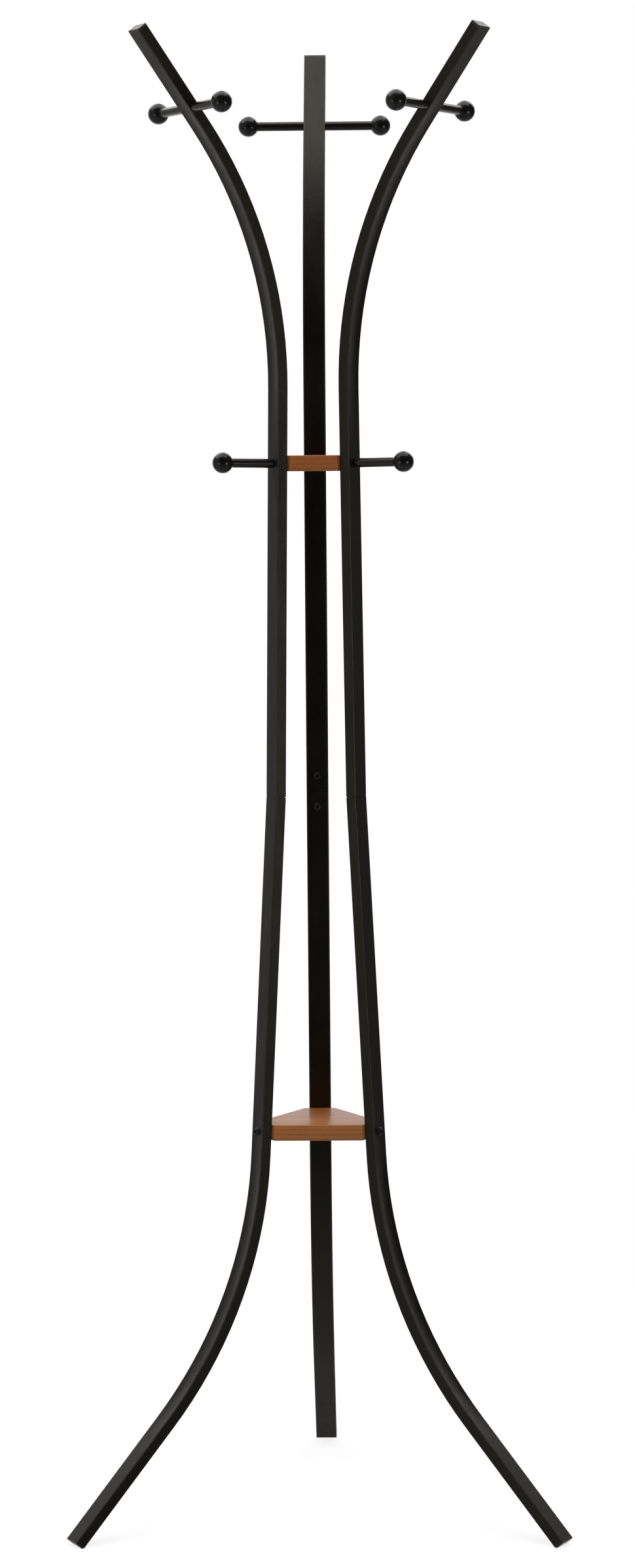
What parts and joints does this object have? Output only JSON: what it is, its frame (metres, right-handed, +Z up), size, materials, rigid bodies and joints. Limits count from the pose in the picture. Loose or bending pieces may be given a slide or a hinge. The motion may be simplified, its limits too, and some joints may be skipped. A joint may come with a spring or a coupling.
{
  "type": "free-standing coat stand",
  "caption": "Free-standing coat stand: bent flat-tube posts lean together at the waist, flare into feet and hook tips, and carry wooden plates and ball-ended rods.",
  "frame": {"origin": "the stand's vertical axis at floor level, midway between the three feet", "axes": "+Z up; +Y from the axis towards the back post; +X to the right as seen from the front, with the left and right posts in front"},
  "size_m": [0.5712, 0.4947, 1.7],
  "materials": {
    "black_paint": "satin powder coat, brown-black",
    "ball_gloss": "gloss black",
    "cap_plastic": "matte black",
    "wood": "satin clear lacquer on warm brown wood",
    "plain_steel": "bare, inside the tubes",
    "insert_brass": "plain, inside the plates"
  },
  "bodies": {
    "root": {"upper_plate": "wood", "lower_plate": "wood", "upper_plate_inserts": "insert_brass", "lower_plate_inserts": "insert_brass", "lower_plate_bolts": "black_paint", "upper_tube_back": "black_paint", "lower_tube_back": "black_paint", "joint_bar_back": "plain_steel", "joint_screws_back": "black_paint", "tip_cap_back": "cap_plastic", "foot_cap_back": "cap_plastic", "cross_bar_back": "black_paint", "ball_a_back": "ball_gloss", "ball_b_back": "ball_gloss", "peg_back": "black_paint", "peg_ball_back": "ball_gloss", "upper_tube_left": "black_paint", "lower_tube_left": "black_paint", "joint_bar_left": "plain_steel", "joint_screws_left": "black_paint", "tip_cap_left": "cap_plastic", "foot_cap_left": "cap_plastic", "cross_bar_left": "black_paint", "ball_a_left": "ball_gloss", "ball_b_left": "ball_gloss", "peg_left": "black_paint", "peg_ball_left": "ball_gloss", "upper_tube_right": "black_paint", "lower_tube_right": "black_paint", "joint_bar_right": "plain_steel", "joint_screws_right": "black_paint", "tip_cap_right": "cap_plastic", "foot_cap_right": "cap_plastic", "cross_bar_right": "black_paint", "ball_a_right": "ball_gloss", "ball_b_right": "ball_gloss", "peg_right": "black_paint", "peg_ball_right": "ball_gloss"}
  },
  "joints": []
}
